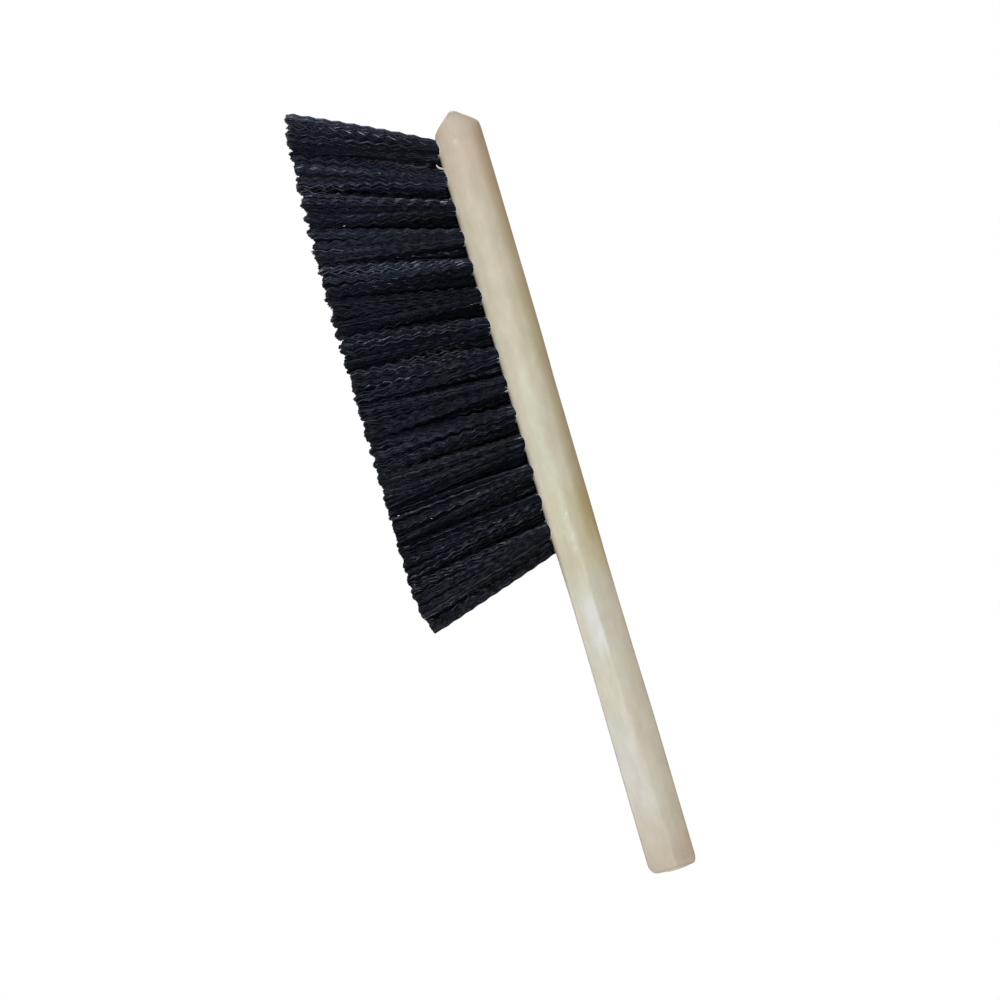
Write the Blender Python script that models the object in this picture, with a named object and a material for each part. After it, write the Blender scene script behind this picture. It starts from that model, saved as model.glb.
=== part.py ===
"""Dusting brush for blinds.

A wooden bar, which is both brush head and grip, carries two staggered rows of bristle
tufts. The tufts fan out along the bar. Each one is folded over a piece of flat wire that
is driven to the bottom of its bore and bites into the wood.

The bar lies along X with its nose at -X, and the bristles hang down, so the brush stands
on its bristle tips. Sizes are in metres.
"""
import math

import bmesh
import bpy
from mathutils import Matrix, Vector

MM = 0.001

# Wooden bar, from the nose to the butt of the grip
BAR_LENGTH = 340 * MM
BAR_WIDTH = 24 * MM
HEAD_HEIGHT = 20.8 * MM
WAIST_HEIGHT = 20.1 * MM
BUTT_HEIGHT = 20.5 * MM
BLEND_LENGTH = 46 * MM
BLEND_OVERLAP = 17 * MM

# The bevels that run along the back of the bar
HEAD_BEVEL_DROP = 10.6 * MM
BUTT_BEVEL_DROP = 8.8 * MM
BEVEL_ANGLE = math.radians(28)

# Rounding of the bar's long edges, soft on the head and crisp on the grip
HEAD_FACE_RADIUS = 4.0 * MM
HEAD_ARRIS_RADIUS = 7.0 * MM
HEAD_BACK_RADIUS = 6.5 * MM
GRIP_FACE_RADIUS = 1.2 * MM
GRIP_ARRIS_RADIUS = 1.2 * MM
GRIP_BACK_RADIUS = 1.0 * MM

# Nose, cut to a blunt wedge by two slanted cuts
NOSE_CUT_FACE = 9.5 * MM
NOSE_CUT_BACK = 8.2 * MM
NOSE_EDGE_DROP = 10.4 * MM
NOSE_EDGE_WIDTH = 2.0 * MM
NOSE_EASE = 1.1 * MM

# Butt, rounded over at its edges
BUTT_FACE_ROUND = 4.0 * MM
BUTT_BACK_ROUND = 2.0 * MM
BUTT_SIDE_ROUND = 2.5 * MM

# Bores, in two rows that are staggered by half a pitch
TUFTS_PER_ROW = 14
TUFT_PITCH = 13.16 * MM
BORE_RADIUS = 3.5 * MM
BORE_DEPTH = 10.5 * MM
NOSE_WALL = 0.8 * MM
SIDE_WALL = 1.1 * MM
ROW_TILT = math.radians(2)

# Fan of the bristles: how fast the tips spread, and where a tuft stands upright
FAN_SPREAD = 0.205
FAN_CENTRE = 121 * MM

# Bristles, trimmed level in the middle and rising in an arc towards each end
BRISTLE_LENGTH = 65.2 * MM
NOSE_TRIM_RUN = 137 * MM
NOSE_TRIM_RISE = 6.2 * MM
GRIP_TRIM_RUN = 30 * MM
GRIP_TRIM_RISE = 6.2 * MM
RAGGED_TRIM = 1.2 * MM
LEVEL_TRIM = 0.5 * MM
TIP_GAP = 0.4 * MM
FREE_SPLAY = 1.35
STRAND_SWELL = 1.35
STRAND_GAP = 0.16 * MM
BOW_AT = 0.42
BOW_SPREAD = 0.50

# Flat wire anchors
ANCHOR_BITE = 0.6 * MM
ANCHOR_WIDTH = 2.0 * MM
ANCHOR_THICKNESS = 0.4 * MM
FOLD_THICKNESS = 0.7 * MM

# Clearance between separate pieces
CLEARANCE = 0.3 * MM

# Step through the unit interval that never repeats, for uneven trims
GOLDEN_SHARE = 0.618034

# Facets
FILLET_STEPS = 4
EASE_STEPS = 3
BLEND_STEPS = 5
GRIP_STEPS = 4
BUTT_STEPS = 4
BORE_SIDES = 16
PLUG_SIDES = 8
CORE_SIDES = 4
CORE_SHARE = 0.45

# Heights, measured from the plane that the brush stands on
FACE_Z = BRISTLE_LENGTH
BACK_Z = FACE_Z + HEAD_HEIGHT

# Places along and across the bar that follow from the sizes above
FIRST_TUFT = NOSE_CUT_FACE + NOSE_WALL + BORE_RADIUS
LAST_TUFT = FIRST_TUFT + TUFT_PITCH * (TUFTS_PER_ROW - 0.5)
ROW_OFFSET = BAR_WIDTH / 2 - SIDE_WALL - BORE_RADIUS
BLEND_START = LAST_TUFT + BORE_RADIUS - BLEND_OVERLAP
GRIP_START = BLEND_START + BLEND_LENGTH
PLUG_RADIUS = BORE_RADIUS - CLEARANCE
TIP_RADIUS = TUFT_PITCH * (1 + FAN_SPREAD) / 2 - TIP_GAP / 2


def clear_scene():
    for obj in list(bpy.data.objects):
        bpy.data.objects.remove(obj, do_unlink=True)


def material(name, colour, roughness, metallic=0.0):
    mat = bpy.data.materials.new(name)
    mat.use_nodes = True
    shader = mat.node_tree.nodes["Principled BSDF"]
    shader.inputs["Base Color"].default_value = (*colour, 1.0)
    shader.inputs["Roughness"].default_value = roughness
    shader.inputs["Metallic"].default_value = metallic
    return mat


def add_object(name, bm, mat):
    """Turn a bmesh into a named object with one material, and free the bmesh."""
    bmesh.ops.recalc_face_normals(bm, faces=bm.faces)
    mesh = bpy.data.meshes.new(name)
    bm.to_mesh(mesh)
    bm.free()
    if mat:
        mesh.materials.append(mat)
    obj = bpy.data.objects.new(name, mesh)
    bpy.context.collection.objects.link(obj)
    return obj


def cut(obj, cutter):
    """Cut one object from another with an exact Boolean, apply it and drop the cutter."""
    boolean = obj.modifiers.new("cut", "BOOLEAN")
    boolean.operation = "DIFFERENCE"
    boolean.solver = "EXACT"
    boolean.object = cutter
    bpy.context.view_layer.update()
    result = bpy.data.meshes.new_from_object(
        obj.evaluated_get(bpy.context.evaluated_depsgraph_get()))
    obj.modifiers.clear()
    obj.data = result
    bpy.data.objects.remove(cutter, do_unlink=True)


def mix(a, b, share):
    return a + (b - a) * share


def smooth_step(share):
    share = min(max(share, 0.0), 1.0)
    return share * share * (3 - 2 * share)


# The wooden bar

def rounded_outline(corners, radii, steps):
    """Round each corner of a polygon of 2D points with an arc of its own radius."""
    outline = []
    for i, corner in enumerate(corners):
        to_last = (corners[i - 1] - corner).normalized()
        to_next = (corners[(i + 1) % len(corners)] - corner).normalized()
        half_angle = to_last.angle(to_next) / 2
        centre = corner + (to_last + to_next).normalized() * radii[i] / math.sin(half_angle)
        reach = radii[i] / math.tan(half_angle)
        start = corner + to_last * reach - centre
        turn = start.angle_signed(corner + to_next * reach - centre)
        for k in range(steps[i] + 1):
            angle = -turn * k / steps[i]
            spoke = Vector((start.x * math.cos(angle) - start.y * math.sin(angle),
                            start.x * math.sin(angle) + start.y * math.cos(angle)))
            outline.append(centre + spoke)
    return outline


def bar_section(x, side_inset=0.0, face_inset=0.0, back_inset=0.0):
    """Give the bar's outline in Y and Z at one place, drawn in by the insets."""
    to_grip = smooth_step((x - BLEND_START) / BLEND_LENGTH)
    along_grip = smooth_step((x - GRIP_START) / (BAR_LENGTH - GRIP_START))
    height = mix(mix(HEAD_HEIGHT, WAIST_HEIGHT, to_grip), BUTT_HEIGHT, along_grip)
    bevel_drop = mix(HEAD_BEVEL_DROP, BUTT_BEVEL_DROP, along_grip)
    half_width = BAR_WIDTH / 2 - side_inset
    half_back = half_width - (bevel_drop - back_inset) * math.tan(BEVEL_ANGLE)
    face = BACK_Z - height + face_inset
    back = BACK_Z - back_inset
    arris = BACK_Z - bevel_drop
    half = [Vector((half_width, face)), Vector((half_width, arris)), Vector((half_back, back))]
    radii = [mix(HEAD_FACE_RADIUS, GRIP_FACE_RADIUS, to_grip),
             mix(HEAD_ARRIS_RADIUS, GRIP_ARRIS_RADIUS, to_grip),
             mix(HEAD_BACK_RADIUS, GRIP_BACK_RADIUS, to_grip)]
    steps = [FILLET_STEPS, EASE_STEPS, FILLET_STEPS]
    corners = half + [Vector((-p.x, p.y)) for p in reversed(half)]
    return rounded_outline(corners, radii + radii[::-1], steps + steps[::-1])


def loft(bm, rings):
    """Join rings of points into a closed tube with a flat cap on each end."""
    loops = [[bm.verts.new(point) for point in ring] for ring in rings]
    count = len(loops[0])
    for here, there in zip(loops, loops[1:]):
        for k in range(count):
            bm.faces.new((here[k], here[(k + 1) % count], there[(k + 1) % count], there[k]))
    bm.faces.new(loops[0])
    bm.faces.new(loops[-1])


def bar_rings():
    """Sections of the bar: head, blend into the grip, grip, and the rounded butt."""
    round_length = max(BUTT_FACE_ROUND, BUTT_BACK_ROUND, BUTT_SIDE_ROUND)
    butt_start = BAR_LENGTH - round_length
    places = [-NOSE_EDGE_WIDTH]
    places += [mix(BLEND_START, GRIP_START, k / BLEND_STEPS) for k in range(BLEND_STEPS)]
    places += [mix(GRIP_START, butt_start, k / GRIP_STEPS) for k in range(GRIP_STEPS + 1)]
    rings = [[Vector((x, p.x, p.y)) for p in bar_section(x)] for x in places]
    for k in range(1, BUTT_STEPS + 1):
        turn = math.pi / 2 * k / BUTT_STEPS
        x = butt_start + round_length * math.sin(turn)
        inset = 1 - math.cos(turn)
        ring = bar_section(x, side_inset=BUTT_SIDE_ROUND * inset,
                           face_inset=BUTT_FACE_ROUND * inset,
                           back_inset=BUTT_BACK_ROUND * inset)
        rings.append([Vector((x, p.x, p.y)) for p in ring])
    return rings


def slice_off(bm, point, normal):
    """Cut the mesh by a plane, drop the side that the normal points to and close the cut."""
    geometry = bm.verts[:] + bm.edges[:] + bm.faces[:]
    bmesh.ops.bisect_plane(bm, geom=geometry, plane_co=point, plane_no=normal, clear_outer=True)
    open_edges = [edge for edge in bm.edges if edge.is_boundary]
    bmesh.ops.contextual_create(bm, geom=open_edges)


def cut_nose(bm):
    """Cut the nose to a wedge, ease the rims of the two cuts, and blunt its edge at x = 0."""
    edge_z = BACK_Z - NOSE_EDGE_DROP
    lower = Vector((0, 0, edge_z - NOSE_EDGE_WIDTH / 2))
    upper = Vector((0, 0, edge_z + NOSE_EDGE_WIDTH / 2))
    face_run = Vector((NOSE_CUT_FACE, 0, FACE_Z)) - lower
    back_run = Vector((NOSE_CUT_BACK, 0, BACK_Z)) - upper
    slice_off(bm, lower, Vector((face_run.z, 0, -face_run.x)))
    slice_off(bm, upper, Vector((-back_run.z, 0, back_run.x)))
    bm.normal_update()
    slanted = {face for face in bm.faces if abs(face.normal.x) > 0.5
               and face.calc_center_median().x < BAR_LENGTH / 2}
    rim = [edge for edge in bm.edges if len(slanted.intersection(edge.link_faces)) == 1]
    bmesh.ops.bevel(bm, geom=rim, offset=NOSE_EASE, segments=1, profile=0.5,
                    affect="EDGES", clamp_overlap=True)
    slice_off(bm, Vector((0, 0, edge_z)), Vector((-1, 0, 0)))


# Places of the bores and tufts

def fan_lean(x):
    """How far along the bar a tuft's tips lie from its root."""
    return FAN_SPREAD * (x - FAN_CENTRE)


class Bore:
    """One bore: the middle of its mouth, its frame, and how far its tuft's tips reach.

    free_end is the side along X, if any, on which its tuft has no neighbour in the row.
    """

    def __init__(self, row, number):
        side = -1 if row == "near" else 1
        stagger = 0.0 if row == "near" else TUFT_PITCH / 2
        x = FIRST_TUFT + stagger + number * TUFT_PITCH
        self.label = f"{row}_{number + 1:02d}"
        self.free_end = {0: -1, TUFTS_PER_ROW - 1: 1}.get(number, 0)
        self.mouth = Vector((x, side * ROW_OFFSET, FACE_Z))
        drift = side * BRISTLE_LENGTH * math.tan(ROW_TILT)
        self.reach = Vector((fan_lean(x), drift, -BRISTLE_LENGTH))
        axis_z = -self.reach.normalized()
        axis_y = axis_z.cross(Vector((1, 0, 0))).normalized()
        axis_x = axis_y.cross(axis_z)
        frame = Matrix((axis_x, axis_y, axis_z)).transposed().to_4x4()
        self.frame = Matrix.Translation(self.mouth) @ frame


def all_bores():
    return [Bore(row, number) for row in ("near", "far") for number in range(TUFTS_PER_ROW)]


def add_cylinder(bm, radius, low, high, sides, frame):
    """Add a closed cylinder along the frame's own Z between two heights."""
    place = frame @ Matrix.Translation((0, 0, (low + high) / 2))
    bmesh.ops.create_cone(bm, cap_ends=True, segments=sides, radius1=radius, radius2=radius,
                          depth=high - low, matrix=place)


def add_block(bm, size, centre_z, frame):
    """Add a box centred on the frame's own Z at one height."""
    place = frame @ Matrix.Translation((0, 0, centre_z)) @ Matrix.Diagonal((*size, 1))
    bmesh.ops.create_cube(bm, size=1.0, matrix=place)


def anchor_height():
    """Height of the wire's middle above the mouth, with the fold between it and the bottom."""
    return BORE_DEPTH - CLEARANCE - FOLD_THICKNESS - CLEARANCE - ANCHOR_WIDTH / 2


def anchor_size(margin):
    length = 2 * (BORE_RADIUS + ANCHOR_BITE)
    return (length + 2 * margin, ANCHOR_THICKNESS + 2 * margin, ANCHOR_WIDTH + 2 * margin)


def make_handle(bores, mat):
    bm = bmesh.new()
    loft(bm, bar_rings())
    cut_nose(bm)
    handle = add_object("wooden_handle", bm, mat)
    drill = bmesh.new()
    pockets = bmesh.new()
    for bore in bores:
        add_cylinder(drill, BORE_RADIUS, -BORE_RADIUS, BORE_DEPTH, BORE_SIDES, bore.frame)
        add_block(pockets, anchor_size(CLEARANCE), anchor_height(), bore.frame)
    cut(handle, add_object("bore_cutter", drill, None))
    cut(handle, add_object("pocket_cutter", pockets, None))
    handle.data.shade_smooth()
    handle.data.set_sharp_from_angle(angle=math.radians(30))


# Anchors and tufts

def make_anchors(bores, mat):
    for bore in bores:
        bm = bmesh.new()
        add_block(bm, anchor_size(0.0), anchor_height(), Matrix.Identity(4))
        anchor = add_object("anchor_" + bore.label, bm, mat)
        anchor.matrix_world = bore.frame


def ring_points(bm, sides, radius, z):
    turn = 2 * math.pi / sides
    return [bm.verts.new((radius * math.cos(turn * k), radius * math.sin(turn * k), z))
            for k in range(sides)]


def fill_mouth(bm, rim, core):
    """Fill the plug's mouth with triangles: a core, and a belt between core and rim."""
    middle = len(core) // 2
    bm.faces.new(core[:middle + 1])
    bm.faces.new(core[middle:] + core[:1])
    inner = 0
    for k in range(len(rim)):
        here = rim[k]
        there = rim[(k + 1) % len(rim)]
        bm.faces.new((here, there, core[inner % len(core)]))
        if (inner + 1) * len(rim) <= (k + 1) * len(core):
            bm.faces.new((there, core[(inner + 1) % len(core)], core[inner % len(core)]))
            inner += 1


def make_plug():
    """Make the part of a tuft that sits in its bore, with a slot where the wire goes through."""
    bm = bmesh.new()
    rim = ring_points(bm, PLUG_SIDES, PLUG_RADIUS, 0.0)
    core = ring_points(bm, CORE_SIDES, PLUG_RADIUS * CORE_SHARE, 0.0)
    top = ring_points(bm, PLUG_SIDES, PLUG_RADIUS, BORE_DEPTH - CLEARANCE)
    for k in range(PLUG_SIDES):
        after = (k + 1) % PLUG_SIDES
        bm.faces.new((rim[k], rim[after], top[after], top[k]))
    bm.faces.new(top)
    fill_mouth(bm, rim, core)
    plug = add_object("plug", bm, None)
    slot = bmesh.new()
    add_block(slot, anchor_size(CLEARANCE), anchor_height(), Matrix.Identity(4))
    cut(plug, add_object("slot_cutter", slot, None))
    return plug


def trim_height(x, number):
    """Height of a strand's cut tip: an arc at each end of the fan, level between, and ragged."""
    first_tip = FIRST_TUFT + fan_lean(FIRST_TUFT) - TIP_RADIUS * FREE_SPLAY
    last_tip = LAST_TUFT + fan_lean(LAST_TUFT) + TIP_RADIUS * FREE_SPLAY
    into_nose = max(1 - (x - first_tip) / NOSE_TRIM_RUN, 0.0)
    into_grip = max(1 - (last_tip - x) / GRIP_TRIM_RUN, 0.0)
    arc = NOSE_TRIM_RISE * into_nose ** 2 + GRIP_TRIM_RISE * into_grip ** 2
    uneven = (number * GOLDEN_SHARE) % 1.0
    return max(arc + RAGGED_TRIM * uneven - LEVEL_TRIM, 0.0)


def draw_strand(bm, face, bore, flare, number):
    """Draw one mouth triangle out into a strand that bows outwards and ends in a level cut.

    On the free side of the first and last tufts, where no neighbour holds them in, the
    strands splay further.
    """
    root = bore.frame @ face.calc_center_median()
    corners = [bore.frame @ vert.co - root for vert in face.verts]
    spread = (root - bore.mouth) * (flare - 1)
    if spread.x * bore.free_end > 0:
        spread.x *= FREE_SPLAY
    tip_z = trim_height(root.x + bore.reach.x + spread.x, number)
    to_local = bore.frame.inverted()
    for share, opened in ((BOW_AT, BOW_SPREAD), (1.0, 1.0)):
        centre = root + bore.reach * share + spread * opened
        centre.z = mix(root.z, tip_z, share)
        face = bmesh.ops.extrude_discrete_faces(bm, faces=[face])["faces"][0]
        for vert, corner in zip(face.verts, corners):
            point = centre + corner * mix(1.0, STRAND_SWELL, share)
            if share == 1.0:
                point.z = tip_z
            vert.co = to_local @ point


def mouth_faces(bm):
    return [face for face in bm.faces
            if all(abs(vert.co.z) < CLEARANCE / 10 for vert in face.verts)]


def tip_flare(mouth):
    """How many times wider than its mouth a tuft opens, so that it just clears the next one."""
    spokes = [face.calc_center_median().length for face in mouth]
    return STRAND_SWELL + (TIP_RADIUS - STRAND_SWELL * PLUG_RADIUS) / max(spokes)


def make_tufts(bores, mat):
    plug = make_plug()
    for index, bore in enumerate(bores):
        bm = bmesh.new()
        bm.from_mesh(plug.data)
        mouth = mouth_faces(bm)
        bmesh.ops.inset_individual(bm, faces=mouth, thickness=STRAND_GAP)
        flare = tip_flare(mouth)
        for number, face in enumerate(mouth):
            draw_strand(bm, face, bore, flare, index * len(mouth) + number)
        tuft = add_object("tuft_" + bore.label, bm, mat)
        tuft.matrix_world = bore.frame
    bpy.data.objects.remove(plug, do_unlink=True)


def centre_on_origin():
    """Move everything along X so that the brush's box is centred over the origin."""
    bpy.context.view_layer.update()
    reach = [(obj.matrix_world @ vert.co).x for obj in bpy.data.objects for vert in obj.data.vertices]
    shift = Matrix.Translation((-(min(reach) + max(reach)) / 2, 0, 0))
    for obj in bpy.data.objects:
        obj.matrix_world = shift @ obj.matrix_world


def main():
    clear_scene()
    wood = material("varnished_wood", (0.60, 0.53, 0.40), 0.42)
    bristle = material("black_bristle", (0.008, 0.010, 0.014), 0.38)
    wire = material("steel_wire", (0.55, 0.56, 0.58), 0.35, metallic=1.0)
    bores = all_bores()
    make_handle(bores, wood)
    make_anchors(bores, wire)
    make_tufts(bores, bristle)
    centre_on_origin()


main()
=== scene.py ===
"""Looks of the dusting brush for blinds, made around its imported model.

The bar with its bores, the tufts of crimped bristle, the torn fibres round the bores and a
loose splinter are surfaces worked out with numpy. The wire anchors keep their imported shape.
Sizes are in metres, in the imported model's frame: X runs from nose to butt, and Z is up.
"""
import math

import bpy
import numpy as np
from mathutils import Matrix, Vector


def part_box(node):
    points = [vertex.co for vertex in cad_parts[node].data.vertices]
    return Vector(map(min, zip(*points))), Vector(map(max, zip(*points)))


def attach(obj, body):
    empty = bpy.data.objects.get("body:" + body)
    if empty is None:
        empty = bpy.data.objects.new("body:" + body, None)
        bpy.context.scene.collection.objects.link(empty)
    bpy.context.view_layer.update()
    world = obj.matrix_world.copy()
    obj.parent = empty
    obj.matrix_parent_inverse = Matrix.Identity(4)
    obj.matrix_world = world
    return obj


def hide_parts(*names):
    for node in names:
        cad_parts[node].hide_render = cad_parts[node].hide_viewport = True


bl_info = {
    "name": "Blind Brush Looks",
    "version": (1, 0, 0),
    "blender": (4, 5, 0),
    "location": "View3D > Sidebar > Brush",
    "description": "Makes the bar, bristles, fibres and studio of a wooden dusting brush",
    "category": "Object",
}

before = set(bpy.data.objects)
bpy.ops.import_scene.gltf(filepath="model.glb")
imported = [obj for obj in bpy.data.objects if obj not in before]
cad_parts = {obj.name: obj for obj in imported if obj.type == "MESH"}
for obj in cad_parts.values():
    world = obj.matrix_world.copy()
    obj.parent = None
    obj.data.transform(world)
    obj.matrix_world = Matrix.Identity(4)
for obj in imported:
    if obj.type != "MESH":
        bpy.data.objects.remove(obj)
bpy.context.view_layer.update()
MM = 0.001

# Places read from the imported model
BAR_LOW, BAR_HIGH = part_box("wooden_handle")
NOSE_X = BAR_LOW.x
FACE_Z = BAR_LOW.z
BACK_Z = BAR_HIGH.z
BAR_LENGTH = BAR_HIGH.x - BAR_LOW.x
HALF_WIDTH = BAR_HIGH.y

# Bar: depth and bevels from the head to the butt
HEAD_HEIGHT = 20.8 * MM
WAIST_HEIGHT = 20.1 * MM
BUTT_HEIGHT = 20.5 * MM
BLEND_START = 177.96 * MM
BLEND_LENGTH = 46 * MM
GRIP_START = BLEND_START + BLEND_LENGTH
HEAD_BEVEL_DROP = 10.6 * MM
BUTT_BEVEL_DROP = 8.8 * MM
BEVEL_ANGLE = math.radians(28)

# How far from its sharp corner an arc of radius 1 starts, at the arris and the back's edge
ARRIS_REACH = math.tan(BEVEL_ANGLE / 2)
BACK_REACH = math.tan(math.pi / 4 - BEVEL_ANGLE / 2)

# Bar: rounding of its long edges on the nose, the head and the grip
FACE_RADII = (1.2 * MM, 3.2 * MM, 0.6 * MM)
SIDE_CROWN = 0.14 * MM
ARRIS_RADII = (8 * MM, 9 * MM, 3 * MM)
ARRIS_CRISP_START = 132 * MM
ARRIS_CRISP_LENGTH = 52 * MM
BACK_RADII = (1.8 * MM, 6.5 * MM, 1.4 * MM)
NOSE_RADII_START = 3 * MM
NOSE_RADII_LENGTH = 9 * MM

# Bar: the wedge of the nose and the rounding of both ends
NOSE_CUT_FACE = 7.9 * MM
NOSE_CUT_BACK = 6.9 * MM
NOSE_EDGE_DROP = 10.4 * MM
NOSE_EDGE_WIDTH = 2 * MM
NOSE_FACE_SOFTNESS = 1.2 * MM
NOSE_BACK_SOFTNESS = 0.8 * MM
NOSE_ROUND = 0.9 * MM
NOSE_ROUND_DEPTH = 0.75 * MM
BUTT_ROUND = 4 * MM
BUTT_BACK_ROUND = 2 * MM
BUTT_SIDE_ROUND = 0.9 * MM
BUTT_DOME = 0.95 * MM
BUTT_RINGS = np.array((0.97, 0.91, 0.82, 0.68, 0.5, 0.3, 0.12))
BAR_SHARP = math.radians(50)

# Bar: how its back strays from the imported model's level one, with a hollow and a dip
BACK_RISE = 0.3 * MM
HOLLOW_DEPTH = 0.34 * MM
HOLLOW_START, HOLLOW_END = 95 * MM, 276 * MM
HOLLOW_FADE = 36 * MM
DIP_DEPTH = 0.22 * MM
DIP_PLACE = 211 * MM
DIP_LENGTH = 24 * MM

# Bar: lengths and phases of the waves that sanding left, and dents beside the near arris
SWELL_WAVES = ((0.0825, 0.04125, 0.023), (-1.12, 0.9, -0.68))
WOBBLE_WAVES = ((0.052, 0.029, 0.017), (-2.8, 3.3, 0.4))
DENT_PLACES = (13 * MM, 181 * MM, 191 * MM, 196 * MM)
DENT_BELOW_BACK = 12.4 * MM
DENT_RADIUS = 1.15 * MM
DENT_DEPTH = 0.14 * MM

# Bores and tufts
TUFTS_PER_ROW = 14
FIRST_TUFT = 13.8 * MM
TUFT_PITCH = 13.16 * MM
LAST_TUFT = FIRST_TUFT + (TUFTS_PER_ROW - 0.5) * TUFT_PITCH
ROW_OFFSET = 7.4 * MM
ROW_TILT = math.radians(2)
BORE_RADIUS = 3.5 * MM
BORE_DEPTH = 10.5 * MM
FAN_SPREAD = 0.205
FAN_CENTRE = 121 * MM
TIP_GAP = 0.4 * MM
TIP_RADIUS = TUFT_PITCH * (1 + FAN_SPREAD) / 2 - TIP_GAP / 2
TIP_OVERLAP = 1.2
FREE_SPLAY = 1.35
FREE_SPREAD = 0.93
FREE_LEANS = np.array((-4.6, 0.5)) * MM
LEANING_TUFTS = 3
TRIM_BASE = 0.6 * MM

# Trim's rises: the bore at the end that each starts from, its way inwards, run and height
TRIM_RISES = ((0, 1, 102 * MM, 3.8 * MM), (0, 1, 6 * MM, 1.4 * MM), (-1, -1, 24 * MM, 5.3 * MM))

# Grid of the bar: cells per tuft pitch, rings round each bore, and steps round the section
CELLS_PER_PITCH = 28
CELL = TUFT_PITCH / CELLS_PER_PITCH
RINGS = 10
RIM_RING = 7
WALL_RINGS = 3
FACE_EDGE = 11.6 * MM
MIDDLE_CELLS = 12
END_STEPS = 10
GRIP_CELL = 1.1 * MM
FILLET_STEPS, CROWN_STEPS = 6, 4
SIDE_STEPS = ARRIS_STEPS = BEVEL_STEPS = BACK_STEPS = 8

# Wear of the varnish, with painted shade, on the underside, at both edges of the side, at the start,
# middle and end of the bevel, at the middle and end of the back's edge, and on the crown. The high
# levels on the bevel and the back's edge are mostly painted shade
HEAD_WEAR_AND_SHADE = (0.22, 0.28, 0.08, 0.2, 0.32, 0.68, 0.9, 0.8, 0.7)
GRIP_WEAR_AND_SHADE = (0, 0, 0.03, 0.18, 0.38, 0.56, 0.69, 0.66, 0.6)
NOSE_WEAR_AND_SHADE = (0.7, 0.42, 0.16, 0.18, 0.34, 0.5, 0.55, 0.55, 0.55)
NOSE_WEAR_AND_SHADE_LENGTH = 11 * MM
BUTT_WEAR_AND_SHADE = (0.2, 0.08, 0.12, 0.34, 0.54, 0.66, 0.74, 0.68, 0.6)
BUTT_WEAR_AND_SHADE_LENGTH = 14 * MM
END_WEAR = 0.3


def panel_length(name, description, default):
    return bpy.props.FloatProperty(
        name=name, description=description, default=default, unit="LENGTH", precision=5)


def panel_colour(name, description, default):
    return bpy.props.FloatVectorProperty(
        name=name, description=description, default=default, size=3, min=0, max=1, subtype="COLOR")


class BarSettings(bpy.types.PropertyGroup):
    """Finish of the wooden bar."""
    swell: panel_length("Swell", "Height of the low waves that sanding left in the sides", 0.1 * MM)
    arris_wobble: panel_length(
        "Arris wobble", "How far the grip's crisp arris strays up and down", 0.12 * MM)
    lip: panel_length("Lip", "Height of the lip that the drill raised on a bore's grip side", 0.32 * MM)
    wood: panel_colour("Wood", "Colour of the pale wood under its varnish", (0.628, 0.592, 0.478))
    streak: panel_colour("Streak", "Colour of the greenish growth streaks", (0.598, 0.586, 0.45))
    fibres_per_bore: bpy.props.IntProperty(
        name="Fibres per bore", description="Torn wood fibres round each bore's mouth",
        default=12, min=0, max=60)


class BristleSettings(bpy.types.PropertyGroup):
    """Size and finish of the bristles."""
    per_tuft: bpy.props.IntProperty(
        name="Bristles per tuft", description="Bristles that stand out of one bore",
        default=185, min=8, max=400)
    radius: panel_length("Radius", "Radius of one bristle", 0.295 * MM)
    crimp_height: panel_length("Crimp height", "How far crests lie from a bristle's middle", 0.64 * MM)
    ragged: panel_length("Ragged tips", "How unevenly the tips are cut near the nose", 4.8 * MM)
    colour: panel_colour("Colour", "Blue-black of most bristles", (0.01, 0.0129, 0.022))
    faded: panel_colour("Faded colour", "Browner black of the odd bristle", (0.021, 0.018, 0.019))


class StageSettings(bpy.types.PropertyGroup):
    """Studio light, floor and camera."""
    key_level: bpy.props.FloatProperty(
        name="Key level", description="Brightness that the key light alone gives a white surface",
        default=1, min=0)
    fill_level: bpy.props.FloatProperty(
        name="Fill level", description="Brightness that the surroundings give a white surface",
        default=0.24, min=0)
    camera_distance: panel_length("Camera distance", "From the camera to the near side of the bar", 6)
    frame_width: panel_length("Frame width", "Width of the view at the near side of the bar", 430 * MM)


# Shared arithmetic

def mix(a, b, share):
    return a + (b - a) * share


def smooth_step(share):
    share = np.clip(share, 0, 1)
    return share * share * (3 - 2 * share)


def soft_max(a, b, softness):
    """The larger of two values, with the corner where they cross rounded to a hyperbola."""
    return (a + b + np.sqrt((a - b) ** 2 + 4 * softness ** 2)) / 2


def stack(*parts):
    """Put arrays together along a new last axis, as the coordinates of points."""
    return np.stack(parts, axis=-1)


def round_off(share):
    """Quarter circle that falls from 1 to 0 as the share goes from 0 to 1."""
    return 1 - np.sqrt(1 - (1 - np.clip(share, 0, 1)) ** 2)


def waves(x, lengths, phases):
    """Sum of sines of x with the given wavelengths and phases, each weaker than the last."""
    total = np.zeros_like(x)
    for k, (length, phase) in enumerate(zip(lengths, phases)):
        total += np.sin(2 * np.pi * x / length + phase) / (k + 1)
    return total


# Meshes

def add_object(name, data):
    obj = bpy.data.objects.new(name, data)
    bpy.context.scene.collection.objects.link(obj)
    return obj


def mesh_object(name, points, faces, material, attributes=None, sharp_angle=None):
    """Make a smooth-shaded mesh, sharp only where it turns by more than the sharp angle."""
    mesh = bpy.data.meshes.new(name)
    polygons = [face for group in faces for face in group.tolist()]
    mesh.from_pydata(points.tolist(), [], polygons)
    for key, values in (attributes or {}).items():
        layer = mesh.attributes.new(key, "FLOAT", "POINT")
        layer.data.foreach_set("value", values.astype(np.float32).ravel())
    mesh.materials.append(material)
    mesh.shade_smooth()
    if sharp_angle:
        mesh.set_sharp_from_angle(angle=sharp_angle)
    mesh.update()
    return add_object(name, mesh)


def unit(vectors):
    return vectors / np.linalg.norm(vectors, axis=-1, keepdims=True)


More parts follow.
